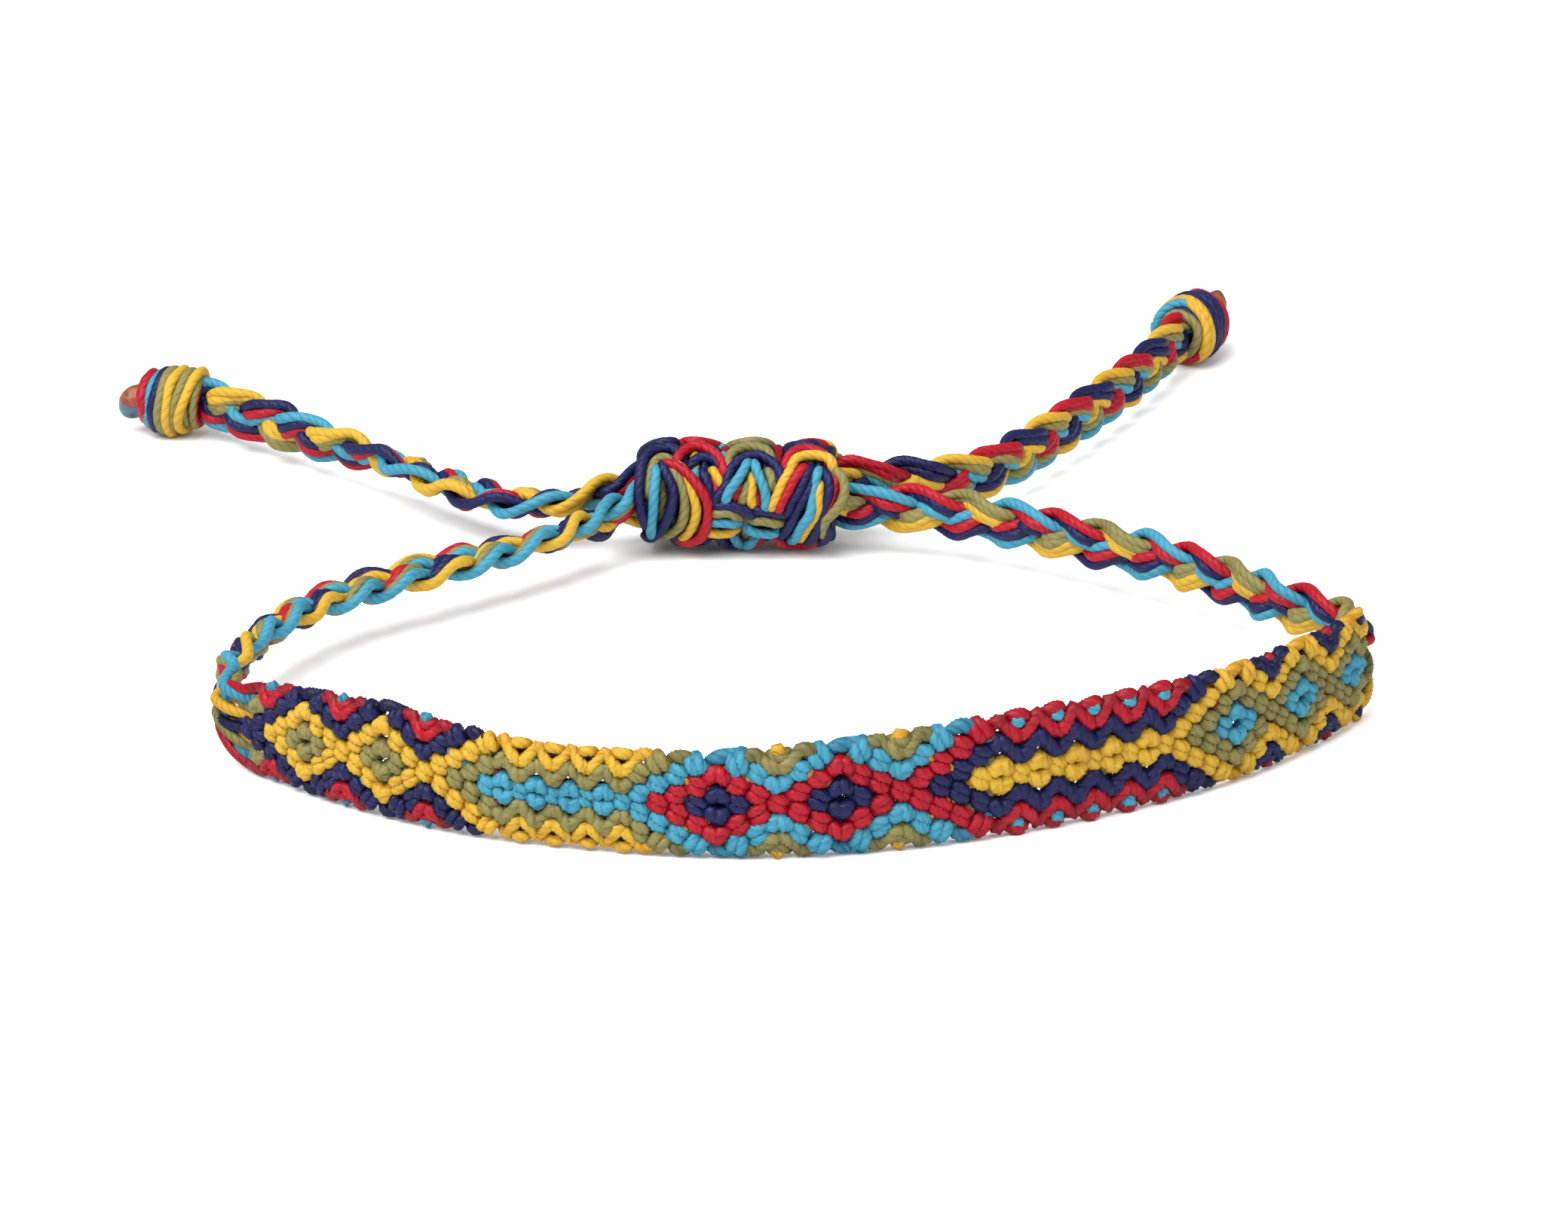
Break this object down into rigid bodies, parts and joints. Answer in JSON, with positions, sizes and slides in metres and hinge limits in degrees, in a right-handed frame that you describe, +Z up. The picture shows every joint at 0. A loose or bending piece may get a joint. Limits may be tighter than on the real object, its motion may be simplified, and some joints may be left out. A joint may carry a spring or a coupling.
{
  "type": "friendship bracelet",
  "caption": "Knotted thread bracelet with a diamond-patterned band, plaited ties, a sliding knot and two knotted tails.",
  "frame": {"origin": "on the floor, under the middle of the whole object's box", "axes": "+Z up from the floor, the patterned band at -Y, the two loose tails towards +Y"},
  "size_m": [0.1039, 0.125, 0.0103],
  "materials": {
    "band_threads": "knotted waxed polyester threads in navy, red, turquoise, olive and yellow",
    "navy_threads": "twisted polyester thread with a soft sheen",
    "red_threads": "twisted polyester thread with a soft sheen",
    "turquoise_threads": "twisted polyester thread with a soft sheen",
    "olive_threads": "twisted polyester thread with a soft sheen",
    "yellow_threads": "twisted polyester thread with a soft sheen"
  },
  "bodies": {
    "root": {"knotted_band": "band_threads", "left_strand_1": "yellow_threads", "left_strand_2": "navy_threads", "left_strand_3": "red_threads", "right_strand_1": "olive_threads", "right_strand_2": "turquoise_threads", "right_strand_3": "red_threads", "sliding_knot": "navy_threads", "left_end_knot": "yellow_threads", "right_end_knot": "navy_threads"}
  },
  "joints": []
}
